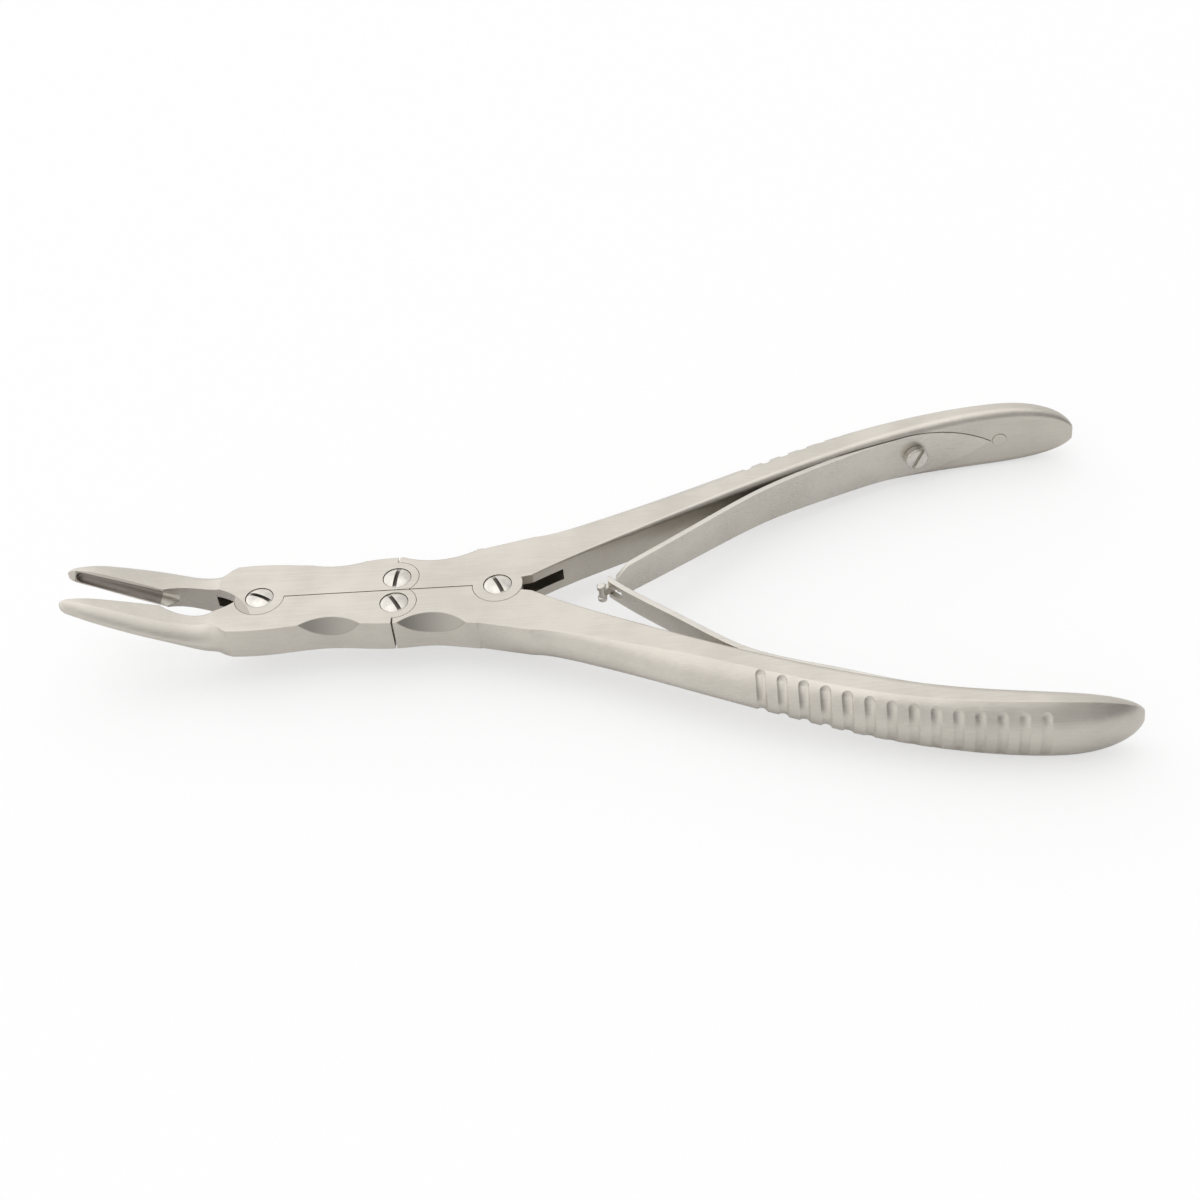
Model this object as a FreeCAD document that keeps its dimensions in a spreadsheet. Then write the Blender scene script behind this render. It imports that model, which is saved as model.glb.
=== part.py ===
import FreeCAD, Part
import math
import os

from FreeCAD import Placement, Rotation, Vector

# Double-action bone rongeur, curved jaws, drawn open as the springs hold it.
# Millimetres and degrees. The origin is on the handle pivot axis, on the underside of the joint block.
# +X runs to the handle ends, +Z is up, and the mid-plane y = 0 divides the upper half (+Y) from the lower.

os.makedirs("parts", exist_ok=True)
doc = FreeCAD.newDocument("bone_rongeur")

SIZES = {
    # joint block: three layers, two cheeks round one tongue
    "plate_thickness": 6.0,
    "tongue_thickness": 2.2,
    "layer_clearance": 0.05,
    "seat_clearance": 0.08,
    "parting_gap": 0.2,
    "shoulder_gap": 0.3,
    # pivots, measured from the handle pivot
    "jaw_pivot_distance": 41.74,
    "link_distance": 17.8,
    "link_offset": 3.15,
    "joint_radius": 4.34,
    "link_radius": 3.86,
    # half widths of the block: crests at the pivots, waists between them
    "jaw_crest": 8.2,
    "jaw_waist": 7.45,
    "link_crest": 8.4,
    "handle_waist": 8.2,
    "shoulder_width": 9.6,
    "lower_scallop_radius": 9.45,
    "lower_scallop_inset": 2.2,
    "lower_scallop_drop": 2.8,
    "upper_scallop_radius": 16.0,
    "upper_scallop_inset": 1.2,
    "upper_scallop_drop": 1.6,
    "back_fall": 24.0,
    # jaws
    "jaw_length": 33.56,
    "jaw_opening": 6.4,
    "bite_clearance": 0.05,
    "jaw_height": 4.15,
    "jaw_tip_width": 4.2,
    "bend_start": 7.6,
    "bend_radius": 18.0,
    "bend_angle": 19.0,
    "tip_droop": 0.75,
    "relief_radius": 11.0,
    "relief_depth": 2.1,
    "relief_centre": 11.6,
    "cup_depth": 1.3,
    "cup_radius": 1.75,
    "cup_tip_radius": 1.25,
    "cup_tip_wall": 1.3,
    # handles
    "grip_length": 104.0,
    "root_flare": 2.1,
    "grip_width": 8.95,
    "grip_end_width": 6.2,
    "grip_height": 12.1,
    "grip_flat_width": 4.4,
    "grip_round_length": 16.0,
    "grip_edge_radius": 1.6,
    "groove_count": 14,
    "groove_pitch": 3.385,
    "groove_first": 43.9,
    "groove_width": 1.7,
    "groove_depth": 0.35,
    "groove_reach": 3.8,
    "groove_end_reach": 4.35,
    # pivot screws
    "screw_head_diameter": 4.8,
    "screw_head_clearance": 0.1,
    "screw_head_recess": 0.9,
    "screw_dome": 0.45,
    "screw_shank_diameter": 3.0,
    "thread_clearance": 0.02,
    "running_clearance": 0.06,
    "open_pivot_clearance": 0.1,
    "driver_slot_width": 0.7,
    "driver_slot_depth": 0.65,
    # leaf springs, their screws and locating pins
    "leaf_thickness": 1.0,
    "leaf_seat_clearance": 0.02,
    "leaf_seat_gap": 0.12,
    "leaf_sink": 0.9,
    "leaf_root_width": 8.8,
    "upper_leaf_tip_width": 6.0,
    "lower_leaf_tip_width": 3.7,
    "leaf_root_length": 16.8,
    "leaf_seat_length": 31.8,
    "leaf_pin_gap": 0.3,
    "leaf_joint_distance": 19.3,
    "leaf_joint_offset": 0.8,
    "leaf_neck_width": 1.5,
    "leaf_fork_clearance": 0.2,
    "leaf_head_diameter": 1.6,
    "leaf_head_waist": 1.15,
    "leaf_head_length": 3.5,
    "leaf_head_reach": 1.9,
    "leaf_screw_spacing": 15.7,
    "leaf_screw_head_diameter": 4.3,
    "leaf_screw_head_height": 1.5,
    "leaf_screw_head_clearance": 0.06,
    "leaf_screw_shank_diameter": 2.4,
    "leaf_screw_depth": 4.0,
    "pin_end_distance": 13.6,
    "pin_diameter": 2.6,
    "pin_depth": 3.0,
    "pin_stand": 0.12,
}

sheet = doc.addObject("Spreadsheet::Sheet", "Sizes")
for row, (alias, number) in enumerate(SIZES.items(), start=1):
    sheet.set(f"A{row}", alias)
    sheet.set(f"B{row}", str(number))
    sheet.setAlias(f"B{row}", alias)
doc.recompute()


def size(alias):
    """The value of one cell of the sheet."""
    return float(sheet.get(alias))


UPPER = 1
LOWER = -1
OVERSIZE = 20.0   # reach of a cutting body past what it cuts

jaw_pivot_x = -size("jaw_pivot_distance")
link_x = -size("link_distance")
half_gap = size("parting_gap") / 2
half_plate = size("plate_thickness") / 2
SLOT_HEIGHT = "(Sizes.tongue_thickness + 2 * Sizes.layer_clearance)"

SIDE_VIEW = Rotation(Vector(1, 0, 0), Vector(0, 0, 1), Vector(0, -1, 0))
END_VIEW = Rotation(Vector(0, 1, 0), Vector(0, 0, 1), Vector(1, 0, 0))


def make(kind, name, **properties):
    """Adds an object; text values become expressions on the sheet, others are set as they are."""
    thing = doc.addObject(kind, name)
    for key, value in properties.items():
        if isinstance(value, str):
            thing.setExpression(key, value)
        else:
            setattr(thing, key, value)
    return thing


def sketch(name, edges, placement=None):
    """A sketch of the given curves, lying on the mid-plane unless it is placed."""
    drawing = doc.addObject("Sketcher::SketchObject", name)
    drawing.addGeometry(edges, False)
    if placement:
        drawing.Placement = placement
    return drawing


def line(a, b):
    return Part.LineSegment(Vector(*a), Vector(*b))


def arc(a, through, b):
    return Part.Arc(Vector(*a), Vector(*through), Vector(*b))


def polyline(points):
    return [line(a, b) for a, b in zip(points, points[1:])]


def closed(points):
    return polyline(list(points) + [points[0]])


def spline(points):
    curve = Part.BSplineCurve()
    curve.interpolate([Vector(x, y, 0) for x, y in points])
    return curve


def extrude(name, drawing, direction, length):
    """A solid of the drawing, half its length to each side."""
    return make("Part::Extrusion", name, Base=drawing, DirMode=0, Dir=direction,
                LengthFwd=length, Solid=True, Symmetric=True)


def prism(name, edges, height="Sizes.plate_thickness"):
    """A plan outline raised to equal heights above and below the mid-plane."""
    return extrude(name, sketch(name + "_outline", edges), Vector(0, 0, 1), height)


def disc(name, x, y, radius, height="Sizes.plate_thickness"):
    """An upright cylinder centred on the mid-plane."""
    body = make("Part::Cylinder", name, Radius=radius, Height=height)
    body.Placement.Base = Vector(x, y, 0)
    body.setExpression("Placement.Base.z", f"-({height}) / 2")
    return body


def fuse(name, *shapes):
    return make("Part::MultiFuse", name, Shapes=list(shapes), Refine=True)


def cut(name, base, *tools):
    tool = tools[0] if len(tools) == 1 else fuse(name + "_tools", *tools)
    return make("Part::Cut", name, Base=base, Tool=tool, Refine=True)


def common(name, *shapes):
    return make("Part::MultiCommon", name, Shapes=list(shapes), Refine=True)


def finish(node, shape):
    """Names the finished piece and stands the block's underside on z = 0."""
    shape.Label = node
    shape.setExpression("Placement.Base.z", "Sizes.plate_thickness / 2")
    return shape


# The block's waists lie between its pivots; its plate ends and the rounded handle begins at the shoulder.
jaw_waist_x = (jaw_pivot_x + link_x) / 2
handle_waist_x = 0.6 * link_x
shoulder_x = -3.0
root_x = 6.0
plate_start_x = jaw_pivot_x - size("joint_radius") - 0.6
round_start_x = size("grip_length") - size("grip_round_length")

# The spring's pin, screw and root keep their places from the end of the grip.
pin_x = size("grip_length") - size("pin_end_distance")
leaf_screw_x = pin_x - size("leaf_screw_spacing")
leaf_end_x = pin_x - size("pin_diameter") / 2 - size("leaf_pin_gap")
leaf_root_x = leaf_end_x - size("leaf_root_length")


def inner_face_curve():
    """The upper handle's flat inner face seen from above, from the crotch to the end of the grip."""
    return spline([(4.2, 0.8), (12.0, 5.5), (24.0, 11.6), (44.0, 21.05), (60.0, 27.5), (73.0, 31.7),
                   (86.0, 34.4), (size("grip_length"), 35.8)])


def inner_face_at(x):
    """Point and direction of the upper handle's inner face at a distance x from the pivot."""
    curve = inner_face_curve()
    low, high = curve.FirstParameter, curve.LastParameter
    for _ in range(40):
        middle = (low + high) / 2
        if curve.value(middle).x < x:
            low = middle
        else:
            high = middle
    return curve.value(middle), curve.tangent(middle)[0]


def end_factor(x):
    """Share of the full section left where the handle's end rounds off like a blunt ellipse."""
    share = (x - round_start_x) / size("grip_round_length")
    return math.sqrt(1 - share ** 2.5) if share > 0 else 1.0


def between(x, start, end):
    """How far x has come from start to end, from 0 to 1."""
    return min(1.0, max(0.0, (x - start) / (end - start)))


def grip_outer_at(x):
    """Outermost line of the handle: a wide root, then a depth that thins towards the grip."""
    loss = size("grip_width") - size("grip_end_width")
    flare = size("root_flare") * (1 - between(x, root_x, 18.0)) ** 2
    depth = size("grip_width") + flare - loss * max(0.0, (x - 20.0) / (round_start_x - 20.0)) ** 2
    return inner_face_at(x)[0].y + depth * end_factor(x)


def grip_height_at(x):
    """Height of the handle, from the block's thickness up to the broad grip."""
    gain = size("grip_height") - size("plate_thickness")
    share = between(x, root_x, round_start_x - 4.0)
    return (size("plate_thickness") + gain * share ** 1.35) * end_factor(x)


def grip_bulge_at(x):
    """How far the rounded back stands out from the edge of the flat top."""
    depth = grip_outer_at(x) - inner_face_at(x)[0].y
    flat = size("grip_flat_width") * (1 - 0.45 * between(x, 64.0, size("grip_length"))) * end_factor(x)
    return min(depth - flat, 0.11 * (x - shoulder_x) + 0.15)


def grip_fall_at(x):
    """Angle at which the back leaves the flat top: the crease fades out along the grip."""
    return size("back_fall") * (1 - between(x, 56.0, round_start_x))


def grip_section(name, x, side):
    """The handle's cross-section, whose inner edges grow rounder towards the end."""
    edge = (0.2 + (size("grip_edge_radius") - 0.2) * between(x, root_x, 66.0)) * end_factor(x)
    return d_section(name, x, side, inner_face_at(x)[0].y, grip_outer_at(x), 0, grip_height_at(x),
                     (grip_bulge_at(x), grip_bulge_at(x)), grip_fall_at(x), edge)


def block_outline(side):
    """Upper or lower half of the joint block: a wavy edge through the crests and waists."""
    edge = spline([
        (plate_start_x, side * size("jaw_crest")),
        (jaw_pivot_x + 3.0, side * size("jaw_crest")),
        (jaw_waist_x, side * size("jaw_waist")),
        (link_x, side * size("link_crest")),
        (handle_waist_x, side * size("handle_waist")),
        (-6.5, side * (size("handle_waist") + size("shoulder_width")) / 2),
        (shoulder_x, side * size("shoulder_width")),
    ])
    left_edge = (plate_start_x, side * size("jaw_crest"), 0)
    low_left = (plate_start_x, side * half_gap, 0)
    low_right = (shoulder_x, side * half_gap, 0)
    right_edge = (shoulder_x, side * size("shoulder_width"), 0)
    return [edge, line(left_edge, low_left), line(low_left, low_right), line(low_right, right_edge)]


def rounded_back(side, outer, middle, half, bulge, low_bulge, fall):
    """The back of a section: it leaves the flats at the angle fall, or steeper where it is shallow."""
    ends = []
    for level, stand in ((1, bulge), (-1, low_bulge)):
        shallow = 90 - 2 * math.degrees(math.atan(stand / half))
        angle = math.radians(max(fall, shallow))
        pull = 1 + 0.17 * min(1.0, stand / half) ** 2
        ends.append((Vector(side * (outer - stand), middle + level * half, 0),
                     Vector(level * side * math.cos(angle), -math.sin(angle), 0) * pull))
    (top, leaving), (bottom, arriving) = ends
    curve = Part.BSplineCurve()
    curve.interpolate(Points=[top, Vector(side * outer, middle, 0), bottom],
                      InitialTangent=leaving, FinalTangent=arriving, Scale=False)
    return curve


def d_section(name, x, side, inner, outer, middle, height, bulges, fall, edge=0.0):
    """Cross-section with a flat inner side, flats above and below, and a round back."""
    half = height / 2
    top, bottom = middle + half, middle - half
    crease, low_crease = [side * (outer - bulge) for bulge in bulges]
    flat = side * (inner + edge)
    face = side * inner
    edges = [
        line((face, bottom + edge, 0), (face, top - edge, 0)),
        line((flat, top, 0), (crease, top, 0)),
        rounded_back(side, outer, middle, half, *bulges, fall),
        line((low_crease, bottom, 0), (flat, bottom, 0)),
    ]
    if edge:
        near = edge * (1 - math.sqrt(0.5))
        corner = side * (inner + near)
        edges.insert(1, arc((face, top - edge, 0), (corner, top - near, 0), (flat, top, 0)))
        edges.append(arc((flat, bottom, 0), (corner, bottom + near, 0), (face, bottom + edge, 0)))
    return sketch(name, edges, Placement(Vector(x, 0, 0), END_VIEW))


def loft(name, sections, ruled=False):
    return make("Part::Loft", name, Sections=sections, Solid=True, Ruled=ruled)


def scallop(name, side, x):
    """Thumb cut ground steeply across the upper edge of a waist, deeper on the lower half."""
    crest, waist = (size("jaw_crest"), size("jaw_waist")) if x < link_x else (
        size("link_crest"), size("handle_waist"))
    half = "upper" if side == UPPER else "lower"
    top = Vector(x, side * (crest - size(half + "_scallop_inset")), half_plate)
    foot = Vector(x, side * waist, half_plate - size(half + "_scallop_drop"))
    along = (foot - top).normalize()
    out = Vector(0, -side * along.z, side * along.y)
    tool = make("Part::Cylinder", name, Radius=f"Sizes.{half}_scallop_radius", Height=OVERSIZE)
    centre = top + out * size(half + "_scallop_radius")
    tool.Placement = Placement(centre - along * (OVERSIZE / 2), Rotation(Vector(0, 0, 1), along))
    return tool


def pivot_bores(name, x, y, snug):
    """Through bore of a pivot; the cheeks also take the screw head from above."""
    clearance = "Sizes.thread_clearance" if snug else "Sizes.running_clearance"
    tools = [disc(name + "_bore", x, y, f"Sizes.screw_shank_diameter / 2 + {clearance}",
                  "Sizes.plate_thickness + 2")]
    if snug:
        pocket = make("Part::Cylinder", name + "_head_seat", Height="Sizes.screw_head_recess + 1",
                      Radius="Sizes.screw_head_diameter / 2 + Sizes.screw_head_clearance")
        pocket.Placement.Base = Vector(x, y, 0)
        pocket.setExpression("Placement.Base.z", "Sizes.plate_thickness / 2 - Sizes.screw_head_recess")
        tools.append(pocket)
    return tools


def outer_layers(name, x, y, radius):
    """Two cutting discs that clear the top and bottom layer and leave the tongue between them."""
    tools = []
    lift = "Sizes.tongue_thickness / 2"
    for part, place in (("top", lift), ("bottom", f"-{lift} - Sizes.plate_thickness")):
        tool = make("Part::Cylinder", f"{name}_{part}", Radius=radius, Height="Sizes.plate_thickness")
        tool.Placement.Base = Vector(x, y, 0)
        tool.setExpression("Placement.Base.z", place)
        tools.append(tool)
    return tools


def jaw_inner_y(x):
    """The bite face lies on a line through the jaw pivot, so the two faces meet when closed."""
    return (jaw_pivot_x - x) * math.tan(math.radians(size("jaw_opening"))) + size("bite_clearance")


def jaw_middle_z(x):
    """Height of the jaw's middle line: level, then a bend, then straight, flatter at the tip."""
    start = jaw_pivot_x - size("bend_start")
    angle = math.radians(size("bend_angle"))
    radius = size("bend_radius")
    run = start - x
    if run <= 0:
        rise = 0.0
    elif run < radius * math.sin(angle):
        rise = radius - math.sqrt(radius * radius - run * run)
    else:
        rise = radius * (1 - math.cos(angle)) + (run - radius * math.sin(angle)) * math.tan(angle)
    share = (jaw_pivot_x - x) / size("jaw_length")
    near_tip = max(0.0, (share - 0.8) / 0.2)
    return rise - size("tip_droop") * near_tip ** 2


def jaw_sections(name, side, stations):
    """Sections of the bill, each given by its reach, height, drop, outer line and two bulges."""
    sections = []
    for number, (reach, height, drop, outer, bulge, low_bulge) in enumerate(stations, start=1):
        x = jaw_pivot_x - reach
        inner = jaw_inner_y(x) - 0.05 * (size("jaw_length") - reach) - 0.1
        sections.append(d_section(f"{name}_section_{number}", x, side, inner, outer, jaw_middle_z(x) - drop,
                                  height, (bulge, low_bulge), size("back_fall")))
    return sections


def bill(name, side):
    """The bill: its flat top ends at the bend, then it hollows, rises and thins to a blunt tip."""
    full, slim, crest = size("plate_thickness"), size("jaw_height"), size("jaw_crest")
    bend, reach = size("bend_start"), size("jaw_length")
    root = [
        (jaw_pivot_x - plate_start_x, full, 0, crest, 0.15, 0.15),
        (bend - 1.6, full, 0, crest - 0.02, 0.9, 0.5),
        (bend - 0.8, full, 0, crest - 0.05, 1.8, 0.95),
        (bend, full, 0, crest - 0.05, 2.6, 1.4),
    ]
    blade = [
        root[-1],
        (bend + 1.6, full - 0.55, 0.2, crest - 0.05, 2.4, 1.8),
        (0.36 * reach, slim + 0.65, 0.1, crest - 0.1, 2.3, 2.0),
        (0.477 * reach, slim + 0.05, 0, crest - 0.15, 2.2, 2.1),
        (0.61 * reach, slim, 0, crest - 0.45, 2.1, 2.1),
        (0.745 * reach, slim - 0.15, 0, crest - 1.0, 2.0, 2.0),
        (0.865 * reach, slim - 0.5, 0, crest - 1.7, 1.8, 1.8),
        (0.94 * reach, slim - 1.05, 0, crest - 2.5, 1.4, 1.4),
        (0.984 * reach, slim - 1.9, 0, crest - 3.2, 0.9, 0.9),
        (reach, slim - 3.1, 0, size("jaw_tip_width"), 0.3, 0.3),
    ]
    return [loft(f"{name}_{part}", jaw_sections(f"{name}_{part}", side, stations))
            for part, stations in (("root", root), ("blade", blade))]


def bite_cup(name, side):
    """The spoon-shaped hollow along the bite face: a slim cone with a round end at the tip."""
    tip_x = jaw_pivot_x - size("jaw_length") + size("cup_tip_wall") + size("cup_tip_radius")
    root_x = jaw_pivot_x - 0.42 * size("jaw_length")
    points = []
    for x, radius in ((tip_x, size("cup_tip_radius")), (root_x, size("cup_radius"))):
        y = jaw_inner_y(x) + size("cup_depth") - radius
        points.append(Vector(x, side * y, jaw_middle_z(x)))
    axis = points[1] - points[0]
    cone = make("Part::Cone", name + "_cone", Radius1="Sizes.cup_tip_radius",
                Radius2="Sizes.cup_radius", Height=axis.Length)
    cone.Placement = Placement(points[0], Rotation(Vector(0, 0, 1), axis))
    ball = make("Part::Sphere", name + "_ball", Radius="Sizes.cup_tip_radius")
    ball.Placement.Base = points[0]
    return [cone, ball]


def jaw(node, side, is_fork):
    """One jaw with its arm: block, bent and hollowed bill, and the fork that holds the link."""
    link_y = side * size("link_offset")
    seam = link_x - size("shoulder_gap") / 2
    block = prism(node + "_block", block_outline(side))
    ahead = prism(node + "_ahead", closed([
        (seam, -OVERSIZE, 0), (seam, OVERSIZE, 0),
        (seam + 2 * OVERSIZE, OVERSIZE, 0), (seam + 2 * OVERSIZE, -OVERSIZE, 0)]),
        "Sizes.plate_thickness + 2")
    arm = cut(node + "_arm", block, ahead)
    knuckle = disc(node + "_knuckle", link_x, link_y, "Sizes.link_radius")
    knuckle_trim = prism(node + "_knuckle_trim", closed([
        (link_x - OVERSIZE, side * half_gap, 0), (link_x + OVERSIZE, side * half_gap, 0),
        (link_x + OVERSIZE, -side * OVERSIZE, 0), (link_x - OVERSIZE, -side * OVERSIZE, 0)]),
        "Sizes.plate_thickness + 2")
    body = fuse(node + "_body", arm, cut(node + "_link_end", knuckle, knuckle_trim),
                *bill(node + "_bill", side))

    tip_x = jaw_pivot_x - 2 * size("jaw_length")
    bite = prism(node + "_bite", closed([
        (jaw_pivot_x, side * half_gap, 0), (tip_x, side * jaw_inner_y(tip_x), 0),
        (tip_x, -side * OVERSIZE, 0), (jaw_pivot_x, -side * OVERSIZE, 0)]), 4 * OVERSIZE)
    relief_x = jaw_pivot_x - size("relief_centre")
    relief_y = jaw_inner_y(relief_x) + size("relief_depth") - size("relief_radius")
    relief = disc(node + "_relief", relief_x, side * relief_y, "Sizes.relief_radius",
                  str(2 * OVERSIZE))
    body = cut(node + "_shaped", body, bite, relief, *bite_cup(node + "_cup", side),
               scallop(node + "_scallop", side, jaw_waist_x + 0.85))

    link_slot = disc(node + "_link_slot", link_x, link_y, "Sizes.link_radius + Sizes.seat_clearance",
                     SLOT_HEIGHT)
    hub = disc(node + "_hub", jaw_pivot_x, 0, "Sizes.joint_radius",
               "Sizes.plate_thickness" if is_fork else "Sizes.tongue_thickness")
    if is_fork:
        seat = [
            disc(node + "_slot", jaw_pivot_x, 0, "Sizes.joint_radius + Sizes.seat_clearance", SLOT_HEIGHT),
            disc(node + "_slot_run_out", jaw_pivot_x - 3.6, side * 1.2, "Sizes.joint_radius + 0.7",
                 SLOT_HEIGHT),
        ]
        body = cut(node + "_forked", fuse(node + "_hubbed", body, hub), *seat)
    else:
        body = fuse(node + "_hubbed", cut(node + "_seated", body, *outer_layers(
            node + "_seat", jaw_pivot_x, 0, "Sizes.joint_radius + Sizes.seat_clearance")), hub)
    body = cut(node + "_bored", body, link_slot,
               *pivot_bores(node + "_pivot", jaw_pivot_x, 0, snug=is_fork),
               *pivot_bores(node + "_link", link_x, link_y, snug=True))
    return finish(node, body)


def groove_line(side, x, reach, stand):
    """Path of a groove's cutter: the back's curve between two heights, moved out by stand."""
    bulge = grip_bulge_at(x)
    back = rounded_back(side, grip_outer_at(x), 0, grip_height_at(x) / 2, bulge, bulge, grip_fall_at(x))
    low, high = back.FirstParameter, (back.FirstParameter + back.LastParameter) / 2
    for _ in range(30):
        start = (low + high) / 2
        if back.value(start).y > reach:
            low = start
        else:
            high = start
    end = back.FirstParameter + back.LastParameter - start
    steps = 8
    points = []
    for step in range(steps + 1):
        place = start + (end - start) * step / steps
        point, along = back.value(place), back.tangent(place)[0]
        points.append((point.x - side * along.y * stand, point.y + side * along.x * stand))
    return spline(points)


def groove_tools(name, side):
    """Finger grooves of one depth across the back: a round cutter's path with a ball at both ends."""
    width, depth = size("groove_width"), size("groove_depth")
    cutter = (width * width / 4 + depth * depth) / (2 * depth)
    count = int(size("groove_count"))
    tools = []
    for number in range(count):
        x = size("groove_first") + number * size("groove_pitch")
        share = number / (count - 1)
        reach = size("groove_reach") * (1 - share) + size("groove_end_reach") * share
        path = groove_line(side, x, reach, cutter - depth)
        here = Placement(Vector(x, 0, 0), END_VIEW)
        spine = sketch(f"{name}_path_{number + 1}", [path], here)
        heading = END_VIEW.multVec(path.tangent(path.FirstParameter)[0])
        ends = [here.multVec(path.StartPoint), here.multVec(path.EndPoint)]
        wheel = sketch(f"{name}_wheel_{number + 1}",
                       [Part.Circle(Vector(0, 0, 0), Vector(0, 0, 1), cutter)],
                       Placement(ends[0], Rotation(Vector(0, 0, 1), heading)))
        tools.append(make("Part::Sweep", f"{name}_{number + 1}", Sections=[wheel],
                          Spine=(spine, ["Edge1"]), Solid=True))
        for end, place in zip(("top", "bottom"), ends):
            ball = make("Part::Sphere", f"{name}_{end}_{number + 1}", Radius=cutter - 0.03)
            ball.Placement.Base = place
            tools.append(ball)
    return tools


def grip_stations():
    """Distances of the handle's cross-sections, closer together where its end rounds off."""
    run = (round_start_x - 20.0) / 5
    grip = [20.0 + step * run for step in range(6)]
    end = [round_start_x + share * size("grip_round_length") for share in (0.28, 0.55, 0.78, 0.92, 0.98)]
    return [root_x, 12.0] + grip + end


def handle(node, side, is_fork):
    """One handle: tongue to the jaw's arm, hub at the handle pivot, and the grooved grip."""
    link_y = side * size("link_offset")
    seam = link_x + size("shoulder_gap") / 2
    block = prism(node + "_block", block_outline(side))
    behind = prism(node + "_behind", closed([
        (seam, -OVERSIZE, 0), (seam, OVERSIZE, 0),
        (seam - 3 * OVERSIZE, OVERSIZE, 0), (seam - 3 * OVERSIZE, -OVERSIZE, 0)]),
        "Sizes.plate_thickness + 2")
    root = cut(node + "_root", block, behind)

    shoulder = d_section(node + "_shoulder", shoulder_x, side, half_gap, size("shoulder_width"), 0,
                         size("plate_thickness"), (0.15, 0.15), size("back_fall"), 0.05)
    sections = [grip_section(f"{node}_section_{number}", x, side)
                for number, x in enumerate(grip_stations(), start=1)]
    neck = loft(node + "_neck", [shoulder, sections[0]], ruled=True)
    grip = loft(node + "_grip", sections)
    body = fuse(node + "_body", root, neck, grip)
    body = cut(node + "_shaped", body, scallop(node + "_scallop", side, handle_waist_x - 0.73),
               leaf_seat(node + "_leaf_seat", side))
    body = cut(node + "_grooved", body, *groove_tools(node + "_groove", side))

    tongue_stock = disc(node + "_tongue_disc", link_x, link_y, "Sizes.link_radius",
                        "Sizes.tongue_thickness")
    tongue_trim = prism(node + "_tongue_trim", closed([
        (link_x - OVERSIZE, side * half_gap, 0), (link_x + OVERSIZE, side * half_gap, 0),
        (link_x + OVERSIZE, -side * OVERSIZE, 0), (link_x - OVERSIZE, -side * OVERSIZE, 0)]),
        "Sizes.plate_thickness + 2")
    tongue = cut(node + "_tongue", tongue_stock, tongue_trim)
    hub = disc(node + "_hub", 0, 0, "Sizes.joint_radius",
               "Sizes.plate_thickness" if is_fork else "Sizes.tongue_thickness")
    seats = outer_layers(node + "_link_seat", link_x, link_y, "Sizes.link_radius + Sizes.seat_clearance")
    if not is_fork:
        seats += outer_layers(node + "_seat", 0, 0, "Sizes.joint_radius + Sizes.seat_clearance")
    body = fuse(node + "_hubbed", cut(node + "_seated", body, *seats), tongue, hub)
    if is_fork:
        body = cut(node + "_forked", body,
                   disc(node + "_slot", 0, 0, "Sizes.joint_radius + Sizes.seat_clearance", SLOT_HEIGHT),
                   disc(node + "_slot_run_out", 6.0, side * 2.0, "Sizes.joint_radius + 1.5", SLOT_HEIGHT))
    link_bore = disc(node + "_link_bore", link_x, link_y, "Sizes.screw_shank_diameter / 2 + "
                     + ("Sizes.open_pivot_clearance" if side == UPPER else "Sizes.running_clearance"),
                     "Sizes.plate_thickness + 2")
    body = cut(node + "_bored", body, link_bore, *pivot_bores(node + "_pivot", 0, 0, snug=is_fork),
               *face_holes(node, side))
    return finish(node, body)


def face_frame(x, side):
    """Point on a handle's inner face at mid height, and its normal, which points to the middle."""
    point, along = inner_face_at(x)
    normal = Vector(along.y, -side * along.x, 0)
    return Vector(point.x, side * point.y, 0), normal


def face_holes(node, side):
    """Blind holes in the inner face: one for the spring's screw, one for its locating pin."""
    tools = []
    for part, x, radius, depth in (
        ("screw_hole", leaf_screw_x,
         "Sizes.leaf_screw_shank_diameter / 2 + Sizes.thread_clearance", "Sizes.leaf_screw_depth"),
        ("pin_hole", pin_x,
         "Sizes.pin_diameter / 2 + Sizes.thread_clearance", "Sizes.pin_depth"),
    ):
        point, normal = face_frame(x, side)
        tool = make("Part::Cylinder", f"{node}_{part}", Radius=radius, Height=f"{depth} + 1.05")
        deep = size(depth.split(".")[1]) + 0.05
        tool.Placement = Placement(point - normal * deep, Rotation(Vector(0, 0, 1), normal))
        tools.append(tool)
    return tools


def turned_screw(node, x, y, angle):
    """Pivot screw: domed slotted head sunk in the upper cheek, shank through all three layers."""
    head_radius = size("screw_head_diameter") / 2
    shank = size("screw_shank_diameter") / 2
    shoulder = half_plate - size("screw_head_recess")
    crown = half_plate + size("screw_dome")
    rim = half_plate - 0.1
    dome_middle = (0.6 * head_radius, rim + 0.72 * (crown - rim), 0)
    profile = [
        line((0, -half_plate, 0), (shank, -half_plate, 0)),
        line((shank, -half_plate, 0), (shank, shoulder, 0)),
        line((shank, shoulder, 0), (head_radius, shoulder, 0)),
        line((head_radius, shoulder, 0), (head_radius, rim, 0)),
        arc((head_radius, rim, 0), dome_middle, (0, crown, 0)),
        line((0, crown, 0), (0, -half_plate, 0)),
    ]
    blank = turned(node, profile)
    slot = make("Part::Box", node + "_driver_slot", Length="Sizes.screw_head_diameter + 2",
                Width="Sizes.driver_slot_width", Height="Sizes.driver_slot_depth + 1")
    turn = Rotation(Vector(0, 0, 1), angle)
    corner = Vector(-(size("screw_head_diameter") + 2) / 2, -size("driver_slot_width") / 2,
                    crown - size("driver_slot_depth"))
    slot.Placement = Placement(turn.multVec(corner), turn)
    screw = cut(node + "_slotted", blank, slot)
    screw.Placement.Base = Vector(x, y, 0)
    return finish(node, screw)


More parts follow.
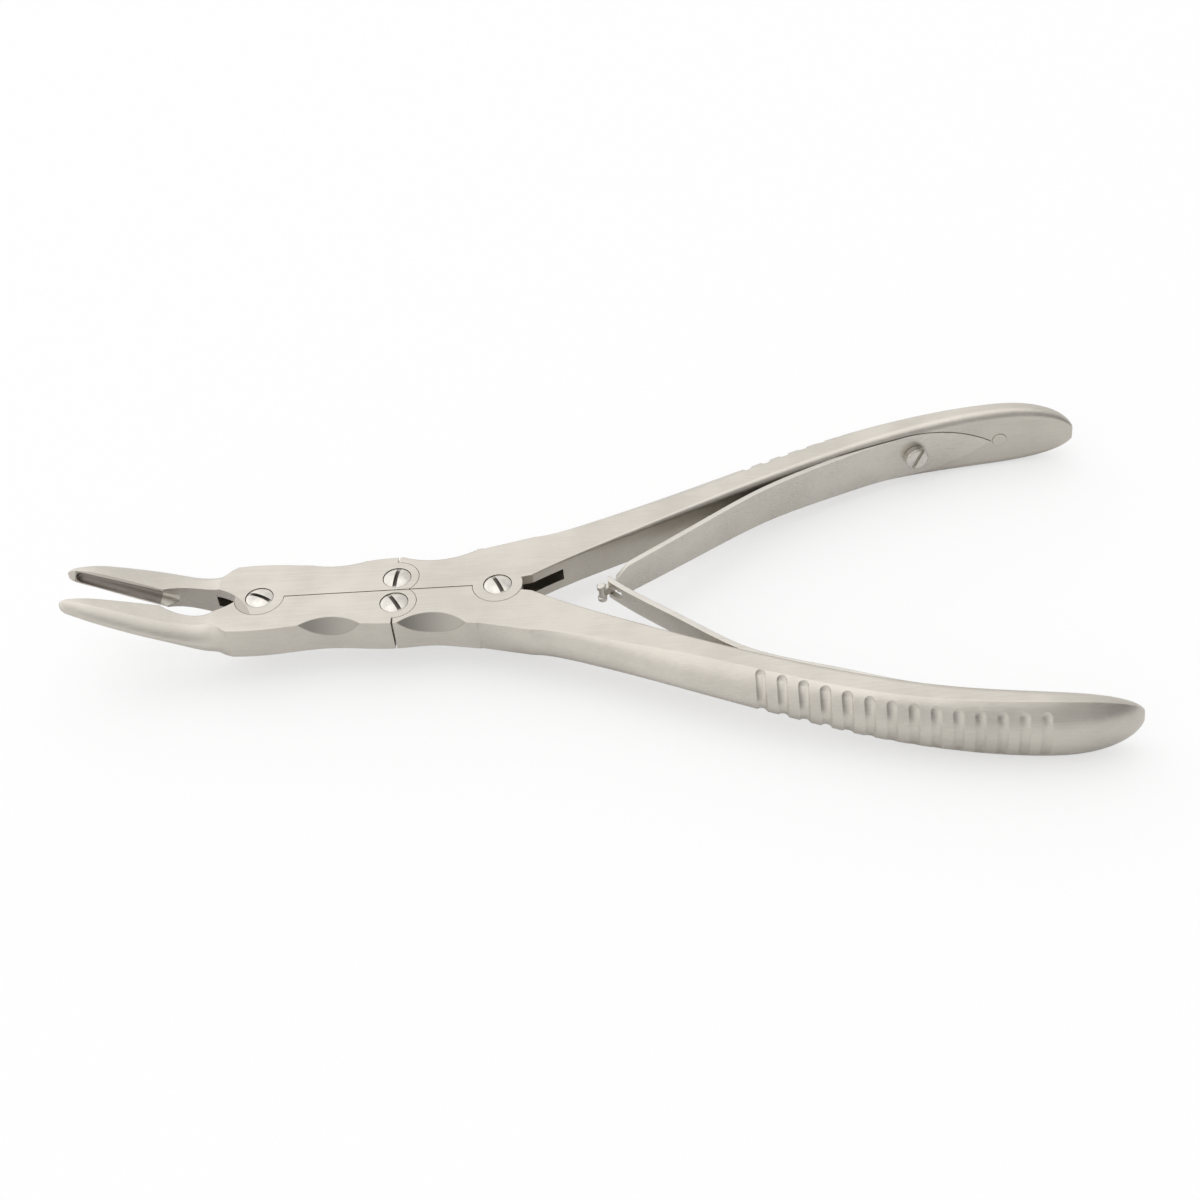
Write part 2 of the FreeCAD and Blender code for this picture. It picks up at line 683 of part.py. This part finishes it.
def turned(node, profile):
    """A turned piece: the half profile spun once round the upright axis."""
    drawing = sketch(node + "_profile", profile, Placement(Vector(0, 0, 0), SIDE_VIEW))
    return make("Part::Revolution", node + "_turned", Source=drawing, Axis=Vector(0, 0, 1),
                Base=Vector(0, 0, 0), Angle=360, Solid=True)


# Outer line of each leaf where it stands free of its handle, upper half, joint end first.
UPPER_LEAF_FREE = [(25.4, 5.95), (36.0, 13.65), (47.0, 21.25)]
LOWER_LEAF_FREE = [(24.0, 4.35), (30.4, 9.75), (42.9, 19.8), (48.5, 22.7)]


def leaf_path(side):
    """Outer line of a leaf: from its free end through the joint, then down into its seat in the handle."""
    free = UPPER_LEAF_FREE if side == UPPER else LOWER_LEAF_FREE
    joint = Vector(size("leaf_joint_distance"), side * size("leaf_joint_offset"), 0)
    along = (Vector(*free[0], 0) - joint).normalize()
    across = Vector(-along.y, along.x, 0) * (size("leaf_thickness") / 2)
    tip = joint - along * (size("leaf_head_reach") + 0.6) + across
    points = [(tip.x, tip.y), (joint.x + across.x, joint.y + across.y)] + free
    for share, sunk in ((0, -0.07), (0.17, 0.4), (0.33, 0.85), (0.46, 1), (0.64, 1), (0.82, 1), (1, 1)):
        x = leaf_end_x - (1 - share) * size("leaf_seat_length")
        point, tangent = inner_face_at(x)
        depth = sunk * size("leaf_sink")
        points.append((point.x - tangent.y * depth, point.y + tangent.x * depth))
    return spline(points)


def leaf_plan(side, below=0.0, above=0.0):
    """The leaf seen from above: its outer line and the same line one thickness inward, or wider."""
    path = leaf_path(side)
    steps = 24
    lines = []
    for shift in (-below, size("leaf_thickness") + above):
        points = []
        for step in range(steps + 1):
            share = step / steps
            place = path.FirstParameter * (1 - share) + path.LastParameter * share
            point, along = path.value(place), path.tangent(place)[0]
            points.append((point.x + along.y * shift, side * (point.y - along.x * shift)))
        lines.append(spline(points))
    outer, inner = lines
    return [
        outer, inner,
        Part.LineSegment(outer.StartPoint, inner.StartPoint),
        Part.LineSegment(outer.EndPoint, inner.EndPoint),
    ]


def leaf_side(name, points, root_arcs):
    """The leaf seen from the side, cut through both handles' width."""
    drawing = sketch(name, polyline(points) + root_arcs, Placement(Vector(0, 0, 0), SIDE_VIEW))
    return extrude(name + "_blank", drawing, Vector(0, 1, 0), 4 * OVERSIZE)


def leaf_root_arcs(gap=0.0):
    """The leaf's pointed root: two arcs that meet at the locating pin."""
    half = size("leaf_root_width") / 2 + gap
    end = leaf_end_x + gap
    knee = leaf_root_x + 0.62 * size("leaf_root_length")
    return [
        arc((leaf_root_x, half, 0), (knee, 0.71 * half, 0), (end, 0, 0)),
        arc((end, 0, 0), (knee, -0.71 * half, 0), (leaf_root_x, -half, 0)),
    ]


def leaf_taper_start(side):
    """Distance and half width at which a leaf begins to widen evenly to its root."""
    if side == UPPER:
        return size("leaf_joint_distance") + 3.3, size("upper_leaf_tip_width") / 2
    return size("leaf_joint_distance") + 22.7, size("lower_leaf_tip_width") / 2 + 0.5


def leaf_seat(name, side):
    """The shallow seat milled in the handle's inner face, which the leaf's root fills."""
    gap = size("leaf_seat_gap")
    half_root = size("leaf_root_width") / 2 + gap
    start, half_start = leaf_taper_start(side)
    outline = [(leaf_root_x, -half_root, 0), (start, -half_start - gap, 0),
               (start, half_start + gap, 0), (leaf_root_x, half_root, 0)]
    side_shape = leaf_side(name + "_side", outline, leaf_root_arcs(gap))
    plan = prism(name + "_plan", leaf_plan(side, size("leaf_seat_clearance"), 0.6), 2 * OVERSIZE)
    return common(name, plan, side_shape)


def leaf_screw_hole(node, side):
    point, normal = face_frame(leaf_screw_x, side)
    tool = make("Part::Cylinder", node + "_screw_hole", Height=6.0,
                Radius="Sizes.leaf_screw_shank_diameter / 2 + Sizes.thread_clearance")
    tool.Placement = Placement(point - normal * 3.0, Rotation(Vector(0, 0, 1), normal))
    return tool


def leaf_head(node, place):
    """The crosswise head on the leaf's neck: two barrels with a slimmer waist between them."""
    reach = size("leaf_head_length") / 2
    barrel, waist = size("leaf_head_diameter") / 2, size("leaf_head_waist") / 2
    neck = size("leaf_neck_width") / 2
    edge = 0.2
    points = [(0, -reach), (barrel - edge, -reach), (barrel, -reach + edge), (barrel, -neck - edge),
              (waist, -neck), (waist, neck), (barrel, neck + edge), (barrel, reach - edge),
              (barrel - edge, reach), (0, reach)]
    head = turned(node + "_head", closed([(x, y, 0) for x, y in points]))
    head.Placement.Base = place
    return head


def upper_leaf_spring():
    """Upper leaf: its neck passes the lower leaf's fork and ends in a crosswise head."""
    node = "upper_leaf_spring"
    half_root = size("leaf_root_width") / 2
    taper_x, half_tip = leaf_taper_start(UPPER)
    half_neck = size("leaf_neck_width") / 2
    joint = Vector(size("leaf_joint_distance"), size("leaf_joint_offset"), 0)
    along = (Vector(*UPPER_LEAF_FREE[0], 0) - joint).normalize()
    head = joint - along * size("leaf_head_reach")
    shoulder = taper_x - 2.2
    outline = [
        (leaf_root_x, -half_root, 0), (taper_x, -half_tip, 0), (shoulder, -1.4, 0),
        (shoulder, -half_neck, 0), (head.x, -half_neck, 0), (head.x, half_neck, 0),
        (shoulder, half_neck, 0), (shoulder, 1.4, 0), (taper_x, half_tip, 0),
        (leaf_root_x, half_root, 0),
    ]
    side_shape = leaf_side(node + "_side", outline, leaf_root_arcs())
    plan = prism(node + "_plan", leaf_plan(UPPER), 2 * OVERSIZE)
    blade = common(node + "_blade", plan, side_shape)
    bar = leaf_head(node, head)
    leaf = cut(node + "_holed", fuse(node + "_headed", blade, bar), leaf_screw_hole(node, UPPER))
    return finish(node, leaf)


def lower_leaf_spring():
    """Lower leaf: its end is a fork whose two prongs straddle the upper leaf's neck."""
    node = "lower_leaf_spring"
    half_root = size("leaf_root_width") / 2
    half_tip = size("lower_leaf_tip_width") / 2
    taper_x, half_start = leaf_taper_start(LOWER)
    half_fork = size("leaf_neck_width") / 2 + size("leaf_fork_clearance")
    fork_end = size("leaf_joint_distance") - 0.3
    fork_root = size("leaf_joint_distance") + 2.0
    outline = [
        (leaf_root_x, -half_root, 0), (taper_x, -half_start, 0), (fork_end, -half_tip, 0),
        (fork_end, -half_fork, 0), (fork_root, -half_fork, 0), (fork_root, half_fork, 0),
        (fork_end, half_fork, 0), (fork_end, half_tip, 0), (taper_x, half_start, 0),
        (leaf_root_x, half_root, 0),
    ]
    side_shape = leaf_side(node + "_side", outline, leaf_root_arcs())
    plan = prism(node + "_plan", leaf_plan(LOWER), 2 * OVERSIZE)
    blade = common(node + "_blade", plan, side_shape)
    return finish(node, cut(node + "_holed", blade, leaf_screw_hole(node, LOWER)))


def leaf_screw(node, side, angle):
    """Cheese-head screw that clamps a leaf to the handle's inner face."""
    head_radius = size("leaf_screw_head_diameter") / 2
    shank = size("leaf_screw_shank_diameter") / 2
    seat = size("leaf_thickness") - size("leaf_sink") + size("leaf_screw_head_clearance")
    top = seat + size("leaf_screw_head_height")
    edge = 0.25
    profile = [
        line((0, -size("leaf_screw_depth"), 0), (shank, -size("leaf_screw_depth"), 0)),
        line((shank, -size("leaf_screw_depth"), 0), (shank, seat, 0)),
        line((shank, seat, 0), (head_radius, seat, 0)),
        line((head_radius, seat, 0), (head_radius, top - edge, 0)),
        line((head_radius, top - edge, 0), (head_radius - edge, top, 0)),
        line((head_radius - edge, top, 0), (0, top, 0)),
        line((0, top, 0), (0, -size("leaf_screw_depth"), 0)),
    ]
    blank = turned(node, profile)
    slot = make("Part::Box", node + "_driver_slot", Length="Sizes.leaf_screw_head_diameter + 2",
                Width="Sizes.driver_slot_width", Height="Sizes.driver_slot_depth + 1")
    turn = Rotation(Vector(0, 0, 1), angle)
    corner = Vector(-(size("leaf_screw_head_diameter") + 2) / 2, -size("driver_slot_width") / 2,
                    top - size("driver_slot_depth"))
    slot.Placement = Placement(turn.multVec(corner), turn)
    return seat_on_face(node, cut(node + "_slotted", blank, slot), leaf_screw_x, side)


def locating_pin(node, side):
    """Short pin in the inner face, just behind the leaf's point, that keeps the leaf from turning."""
    pin = make("Part::Cylinder", node + "_pin", Radius="Sizes.pin_diameter / 2",
               Height="Sizes.pin_depth + Sizes.pin_stand")
    pin.Placement.Base = Vector(0, 0, -size("pin_depth"))
    return seat_on_face(node, pin, pin_x, side)


def seat_on_face(node, shape, x, side):
    """Stands a piece made along +Z on a handle's inner face."""
    point, normal = face_frame(x, side)
    own = shape.Placement
    shape.Placement = Placement(point, Rotation(Vector(0, 0, 1), normal)).multiply(own)
    return finish(node, shape)


link_y = size("link_offset")
pieces = [
    jaw("upper_jaw", UPPER, is_fork=True),
    jaw("lower_jaw", LOWER, is_fork=False),
    handle("upper_handle", UPPER, is_fork=True),
    handle("lower_handle", LOWER, is_fork=False),
    turned_screw("jaw_pivot_screw", jaw_pivot_x, 0, -26.8),
    turned_screw("upper_link_screw", link_x, link_y, -97.2),
    turned_screw("lower_link_screw", link_x, -link_y, -59.1),
    turned_screw("handle_pivot_screw", 0, 0, -64.3),
    upper_leaf_spring(),
    lower_leaf_spring(),
    leaf_screw("upper_spring_screw", UPPER, 75),
    leaf_screw("lower_spring_screw", LOWER, 20),
    locating_pin("upper_spring_pin", UPPER),
    locating_pin("lower_spring_pin", LOWER),
]
doc.recompute()

for thing in doc.Objects:
    if "Invalid" in thing.State or "Error" in thing.State:
        raise RuntimeError(f"{thing.Name} failed: {thing.State}")
for piece in pieces:
    shape = piece.Shape
    if shape.isNull() or not shape.isValid() or len(shape.Solids) != 1:
        raise RuntimeError(f"{piece.Label} is not one sound solid")
for piece in pieces:
    piece.Shape.exportStep(f"parts/{piece.Label}.step")
    box = piece.Shape.BoundBox
    print(f"{piece.Label}: {piece.Shape.Volume:.1f} mm3, "
          f"x {box.XMin:.1f}..{box.XMax:.1f}, y {box.YMin:.1f}..{box.YMax:.1f}")
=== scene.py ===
import math

import bmesh
import bpy
from mathutils import Matrix, Vector
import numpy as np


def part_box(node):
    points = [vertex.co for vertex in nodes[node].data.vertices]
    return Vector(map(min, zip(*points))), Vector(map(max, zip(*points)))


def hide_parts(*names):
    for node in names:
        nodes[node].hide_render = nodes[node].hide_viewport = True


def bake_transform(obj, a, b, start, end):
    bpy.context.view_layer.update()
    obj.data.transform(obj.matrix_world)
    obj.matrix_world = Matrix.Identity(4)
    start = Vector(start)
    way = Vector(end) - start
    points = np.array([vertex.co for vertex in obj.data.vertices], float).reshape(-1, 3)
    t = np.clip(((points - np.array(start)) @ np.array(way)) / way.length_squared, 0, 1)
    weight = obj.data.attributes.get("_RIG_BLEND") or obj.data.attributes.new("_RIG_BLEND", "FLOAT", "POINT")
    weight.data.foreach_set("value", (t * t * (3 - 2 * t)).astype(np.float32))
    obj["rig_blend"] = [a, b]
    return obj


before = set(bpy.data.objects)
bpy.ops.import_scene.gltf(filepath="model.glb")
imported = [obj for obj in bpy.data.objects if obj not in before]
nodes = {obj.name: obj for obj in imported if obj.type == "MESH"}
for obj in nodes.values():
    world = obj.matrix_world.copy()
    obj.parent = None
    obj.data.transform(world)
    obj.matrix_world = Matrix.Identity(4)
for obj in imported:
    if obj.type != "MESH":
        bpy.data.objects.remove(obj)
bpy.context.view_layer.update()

# Camera: a long lens on a stand in front of the bench, looking down over the instrument
# from about 42 degrees, turned a little so that the jaws point to the lower left.
camera_place = Vector((0.04173, -0.26122, 0.24046))
camera_target = Vector((0.017509, -0.002278, 0.003))
camera_roll = math.radians(6.818)
lens_millimetres = 61.4
nearest_seen = 0.01

look = (camera_target - camera_place).normalized()
level = look.cross(Vector((0, 0, 1))).normalized()
upright = level.cross(look)
sideways = level * math.cos(camera_roll) - upright * math.sin(camera_roll)
overhead = level * math.sin(camera_roll) + upright * math.cos(camera_roll)
camera = bpy.data.objects.new("camera", bpy.data.cameras.new("camera"))
camera.data.lens = lens_millimetres
camera.data.clip_start = nearest_seen
turn = Matrix((sideways, overhead, -look)).transposed()
camera.matrix_world = Matrix.Translation(camera_place) @ turn.to_4x4()
bpy.context.collection.objects.link(camera)
bpy.context.scene.camera = camera


class Shade:
    """A value or colour in a material's nodes. The plain signs add Math nodes next to it."""

    def __init__(self, tree, socket=None):
        self.tree = tree
        self.socket = socket

    def add(self, kind, settings, values, output=0):
        """Adds a node of this kind: its settings first, then the values or links of its sockets."""
        node = self.tree.nodes.new("ShaderNode" + kind)
        for name, setting in settings.items():
            setattr(node, name, setting)
        for name, value in values.items():
            if isinstance(value, Shade):
                self.tree.links.new(value.socket, node.inputs[name])
            else:
                node.inputs[name].default_value = value
        return Shade(self.tree, node.outputs[output])

    def feed(self, socket):
        self.tree.links.new(self.socket, socket)

    def maths(self, operation, first, second):
        return self.add("Math", {"operation": operation}, {0: first, 1: second})

    def __add__(self, other):
        return self.maths("ADD", self, other)

    __radd__ = __add__

    def __sub__(self, other):
        return self.maths("SUBTRACT", self, other)

    def __rsub__(self, other):
        return self.maths("SUBTRACT", other, self)

    def __mul__(self, other):
        return self.maths("MULTIPLY", self, other)

    __rmul__ = __mul__

    def over(self, low, high):
        """This value spread from 0 at low to 1 at high, and held there."""
        return self.add("MapRange", {"interpolation_type": "SMOOTHSTEP"},
                        {"Value": self, "From Min": low, "From Max": high})

    def tint(self, dark, light):
        """The colour between dark and light that this value stands for."""
        return self.add("Mix", {"data_type": "RGBA"}, {0: self, 6: dark, 7: light}, 2)

    def away_from(self, axis_mask):
        """The distance of this place from the axis that the mask leaves out."""
        flat = self.add("VectorMath", {"operation": "MULTIPLY"}, {0: self, 1: axis_mask})
        return self.add("VectorMath", {"operation": "LENGTH"}, {0: flat}, "Value")


# Jaws and handles: stainless bar, milled, ground along its length and matted with glass
# beads, which leaves a warm grey with fine lines and faint clouds in it. Every edge is
# broken by hand. The scoops, the hollows behind them and the thumb cuts keep their cutters'
# roughness, and their colour is darkened there as painted shade.
cloud_scale, bead_scale, line_scale = 95.0, 5200.0, 3100.0   # waves in a metre
line_stretch = (0.045, 1, 1)
broken_edge = 0.00016
finish_depth = 0.00002
cutter_miss = (0.00003, 0.0001)   # a cut's roughness and painted shade fade out between these distances from it


def satin_steel(name, dark, light, roughness, cuts=()):
    """A cut is its cutter's axis from start to end, the radius at each, the colour painted in it as shade,
    and the roughness it leaves.
    """
    material = bpy.data.materials.new(name)
    material.use_nodes = True
    surface = material.node_tree.nodes["Principled BSDF"]
    surface.inputs["Metallic"].default_value = 1.0
    shade = Shade(material.node_tree)
    place = shade.add("TexCoord", {}, {}, "Object")
    along = shade.add("Mapping", {}, {"Vector": place, "Scale": line_stretch})
    clouds = shade.add("TexNoise", {}, {"Vector": place, "Scale": cloud_scale, "Detail": 4.0})
    beads = shade.add("TexNoise", {}, {"Vector": place, "Scale": bead_scale, "Detail": 3.0})
    lines = shade.add("TexNoise", {}, {"Vector": along, "Scale": line_scale, "Detail": 5.0})
    tone = clouds * 0.5 + lines * 0.3 + beads * 0.2
    colour = tone.over(0.36, 0.64).tint(dark, light)
    matt = roughness + (lines - 0.5) * 0.22 + (clouds - 0.5) * 0.16
    for start, end, start_radius, end_radius, shade_colour, dullness in cuts:
        axis = end - start
        centred = shade.add("VectorMath", {"operation": "SUBTRACT"}, {0: place, 1: start})
        turned = shade.add("Mapping", {}, {
            "Vector": centred, "Rotation": axis.rotation_difference(Vector((1, 0, 0))).to_euler()})
        run = shade.add("SeparateXYZ", {}, {0: turned}, 0)
        radius = start_radius + run * ((end_radius - start_radius) / axis.length)
        miss = turned.away_from((0, 1, 1)) - radius
        cut_finish_and_shade = ((1 - miss.over(*cutter_miss)) * run.over(-0.0001, 0.0001)
                   * (1 - run.over(axis.length, axis.length + 0.0002)))
        # Inside each cut the colour is darkened as painted shade; the roughness change is the cutter's own.
        colour = cut_finish_and_shade.tint(colour, shade_colour)
        matt = matt + cut_finish_and_shade * dullness
    colour.feed(surface.inputs["Base Color"])
    matt.feed(surface.inputs["Roughness"])
    edges = shade.add("Bevel", {"samples": 6}, {"Radius": broken_edge})
    relief = shade.add("Bump", {}, {"Strength": 0.1, "Distance": finish_depth, "Normal": edges,
                                    "Height": lines * 0.6 + beads * 0.4})
    relief.feed(surface.inputs["Normal"])
    return material


def mirrored(point, side):
    return Vector((point.x, point.y * side, point.z))


dark_steel, light_steel = (0.53, 0.497, 0.445, 1), (0.62, 0.584, 0.525, 1)
# Painted shade: the scoops, the hollows behind them and the thumb cuts get darker colours where shade falls
# in them.
scoop_painted_shade = (0.32, 0.285, 0.255, 1)
hollow_painted_shade = (0.44, 0.41, 0.37, 1)
thumb_cut_painted_shade = (0.41, 0.385, 0.345, 1)
satin_roughness = 0.36
block_top = 0.006
# The scoop and the hollow behind it on the upper jaw, and the thumb cuts' two places with the
# half widths of the block at its top and at the cut's foot.
scoop_heel, scoop_toe = Vector((-0.0597, 0.00173, 0.00546)), Vector((-0.0740, 0.00376, 0.01014))
scoop_heel_radius, scoop_toe_radius = 0.00163, 0.0012
hollow_low, hollow_high = Vector((-0.05334, -0.00755, -0.01)), Vector((-0.05334, -0.00755, 0.03))
hollow_radius = 0.011
thumb_places = ((-0.02892, 0.0082, 0.00745), (-0.01141, 0.0084, 0.0082))
thumb_reach = 0.01
for name, side, thumb_radius, thumb_inset, thumb_drop in (
        ("upper", 1, 0.016, 0.0012, 0.0016), ("lower", -1, 0.00945, 0.0022, 0.0028)):
    thumb_cuts = []
    for x, crest, waist in thumb_places:
        edge = Vector((x, side * (crest - thumb_inset), block_top))
        foot = Vector((x, side * waist, block_top - thumb_drop))
        slope = (foot - edge).normalized()
        centre = edge + Vector((0, -side * slope.z, side * slope.y)) * thumb_radius
        thumb_cuts.append((centre - slope * thumb_reach, centre + slope * thumb_reach,
                           thumb_radius, thumb_radius, thumb_cut_painted_shade, -0.04))
    scoop = (mirrored(scoop_heel, side), mirrored(scoop_toe, side),
             scoop_heel_radius, scoop_toe_radius, scoop_painted_shade, 0.1)
    hollow = (mirrored(hollow_low, side), mirrored(hollow_high, side),
              hollow_radius, hollow_radius, hollow_painted_shade, -0.06)
    nodes[name + "_jaw"].material_slots[0].material = satin_steel(
        name + "_jaw_steel", dark_steel, light_steel, satin_roughness,
        (scoop, hollow, thumb_cuts[0]))
    nodes[name + "_handle"].material_slots[0].material = satin_steel(
        name + "_handle_steel", dark_steel, light_steel, satin_roughness, thumb_cuts[1:])


# Pivot screws and the springs' screws: turned and polished, and screwed down. The turning
# leaves rings about the screw's own axis. The pivot screws' slots are painted dark as shade.
bright_low, bright_high = (0.56, 0.53, 0.485, 1), (0.68, 0.65, 0.60, 1)
# Painted shade: the dark in the screw heads' slots stands for the shade that falls in them.
slot_painted_shade = (0.14, 0.13, 0.115, 1)
slot_edge = 0.00012   # depth below the dome, and width inside the rim, where the painted shade starts
screw_edge = 0.0001


def polished_steel(name, top, axis_turn=(0, 0, 0), dome=0.0, rim=0.0):
    """Rings about the axis through top. Below the dome's surface, inside the rim, the head's cut is painted
    dark as shade.
    """
    material = bpy.data.materials.new(name)
    material.use_nodes = True
    surface = material.node_tree.nodes["Principled BSDF"]
    surface.inputs["Metallic"].default_value = 1.0
    shade = Shade(material.node_tree)
    place = shade.add("TexCoord", {}, {}, "Object")
    centred = shade.add("VectorMath", {"operation": "SUBTRACT"}, {0: place, 1: top})
    turned = shade.add("Mapping", {}, {"Vector": centred, "Rotation": axis_turn})
    radius = turned.away_from((1, 1, 0))
    rings = shade.add("TexNoise", {"noise_dimensions": "1D"},
                      {"W": radius, "Scale": 9000.0, "Detail": 3.0})
    haze = shade.add("TexNoise", {}, {"Vector": place, "Scale": 700.0, "Detail": 4.0})
    colour = haze.over(0.3, 0.7).tint(bright_low, bright_high)
    gloss = 0.12 + rings * 0.12 + haze * 0.1
    if rim:
        height = shade.add("SeparateXYZ", {}, {0: turned}, 2)
        below = 0 - height - radius * radius * dome
        # Painted shade in the slot: darker and matt below the dome and inside the rim.
        slot_shade = below.over(slot_edge, 0.0004) * (1 - radius.over(rim - slot_edge, rim))
        colour = slot_shade.tint(colour, slot_painted_shade)
        gloss = gloss + slot_shade * 0.4
    colour.feed(surface.inputs["Base Color"])
    gloss.feed(surface.inputs["Roughness"])
    edges = shade.add("Bevel", {"samples": 6}, {"Radius": screw_edge})
    relief = shade.add("Bump", {}, {"Strength": 0.08, "Distance": 0.00001, "Normal": edges,
                                    "Height": rings})
    relief.feed(surface.inputs["Normal"])
    return material


pivot_head_radius = 0.0024
pivot_dome = 95.0   # fall of the dome below its top, over the radius squared
for name in ("jaw_pivot_screw", "handle_pivot_screw", "upper_link_screw",
             "lower_link_screw"):
    low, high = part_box(name)
    top = ((low[0] + high[0]) / 2, (low[1] + high[1]) / 2, high[2])
    nodes[name].material_slots[0].material = polished_steel(
        name, top, dome=pivot_dome, rim=pivot_head_radius)
for name, quarter_turn in (("upper_spring_screw", math.pi / 2),
                           ("lower_spring_screw", -math.pi / 2)):
    low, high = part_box(name)
    middle = (Vector(low) + Vector(high)) / 2
    nodes[name].material_slots[0].material = polished_steel(
        name, tuple(middle), (quarter_turn, 0, 0))


# Spring pins: short steel pins pressed into the handles at the leaves' roots and ground off
# with them, so they have the handles' own finish, a little brighter.
pin_roughness = 0.34
for name in ("upper_spring_pin", "lower_spring_pin"):
    nodes[name].material_slots[0].material = satin_steel(
        name + "_steel", dark_steel, light_steel, pin_roughness)


# Leaf springs: hardened spring strip, ground flat and lightly polished. Each is held at its
# root in a shallow seat of the handle, and the two tips hook into each other and stay half
# way between the handles, so every leaf bends between its own handle and the other one.
spring_steel = satin_steel("spring_steel", (0.56, 0.53, 0.48, 1), (0.66, 0.63, 0.575, 1), 0.31)
seat_end = Vector((0.057, 0.0262, 0.003))
tips_joint = Vector((0.0193, 0.0008, 0.003))
crease = math.radians(30)
same_point = 1e-6
for name, side, own, other in (("upper_leaf_spring", 1, "upper_handle", "lower_handle"),
                               ("lower_leaf_spring", -1, "lower_handle", "upper_handle")):
    mesh = nodes[name].data.copy()
    leaf = bpy.data.objects.new("sprung_" + name, mesh)
    bpy.context.collection.objects.link(leaf)
    work = bmesh.new()
    work.from_mesh(mesh)
    bmesh.ops.remove_doubles(work, verts=work.verts, dist=same_point)
    work.to_mesh(mesh)
    work.free()
    for attribute in [item for item in mesh.attributes if item.name == "custom_normal"]:
        mesh.attributes.remove(attribute)
    mesh.shade_smooth()
    mesh.set_sharp_from_angle(angle=crease)
    mesh.materials.clear()
    mesh.materials.append(spring_steel)
    start = mirrored(seat_end, side)
    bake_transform(leaf, own, other, start=start, end=2 * tips_joint - start)
    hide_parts(name)


# Studio: a pale sheet on a table that tilts a little, in a white tent. The tent is
# brightest overhead, behind and on the left, and dimmer on the camera's side.
table_half = 3.0
table_tilt = math.radians(1.3)
grips_rest = Vector((0.088, 0, -0.0031))
paper_colour = (0.86, 0.86, 0.86, 1)
white = (1, 1, 1, 1)
sheet = bmesh.new()
bmesh.ops.create_grid(sheet, x_segments=1, y_segments=1, size=table_half)
bmesh.ops.transform(sheet, verts=sheet.verts, matrix=(
    Matrix.Translation(grips_rest) @ Matrix.Rotation(-table_tilt, 4, "Y")))
table = bpy.data.objects.new("table", bpy.data.meshes.new("table"))
sheet.to_mesh(table.data)
sheet.free()
bpy.context.collection.objects.link(table)
paper = bpy.data.materials.new("white_paper")
paper.use_nodes = True
surface = paper.node_tree.nodes["Principled BSDF"]
surface.inputs["Base Color"].default_value = paper_colour
surface.inputs["Roughness"].default_value = 0.9
shade = Shade(paper.node_tree)
camera_ray, glossy_ray, clear_ray = [shade.add("LightPath", {}, {}, name) for name in (
    "Is Camera Ray", "Is Glossy Ray", "Is Transmission Ray")]
glow = shade.add("Emission", {}, {"Color": white, "Strength": 1.05})
paper_mix = shade.add("MixShader", {}, {
    0: camera_ray * 0.56 + clear_ray * 0.56 + glossy_ray * 0.05,
    1: Shade(paper.node_tree, surface.outputs[0]), 2: glow})
paper_mix.feed(paper.node_tree.nodes["Material Output"].inputs["Surface"])
table.data.materials.append(paper)

tent = bpy.data.worlds.new("white_tent")
bpy.context.scene.world = tent
tent.use_nodes = True
shade = Shade(tent.node_tree)
direction = shade.add("TexCoord", {}, {}, "Generated")
right, behind, above = [shade.add("SeparateXYZ", {}, {0: direction}, axis) for axis in range(3)]
brightness = (0.68 + behind.over(-0.5, 0.45) * 0.43 + above.over(0.7, 1.0) * 0.6
              - right * 0.45)
camera_ray = shade.add("LightPath", {}, {}, "Is Camera Ray")
background = tent.node_tree.nodes["Background"]
background.inputs["Color"].default_value = white
(brightness * (1 - camera_ray) + camera_ray).feed(background.inputs["Strength"])

bpy.context.scene.view_settings.view_transform = "Standard"
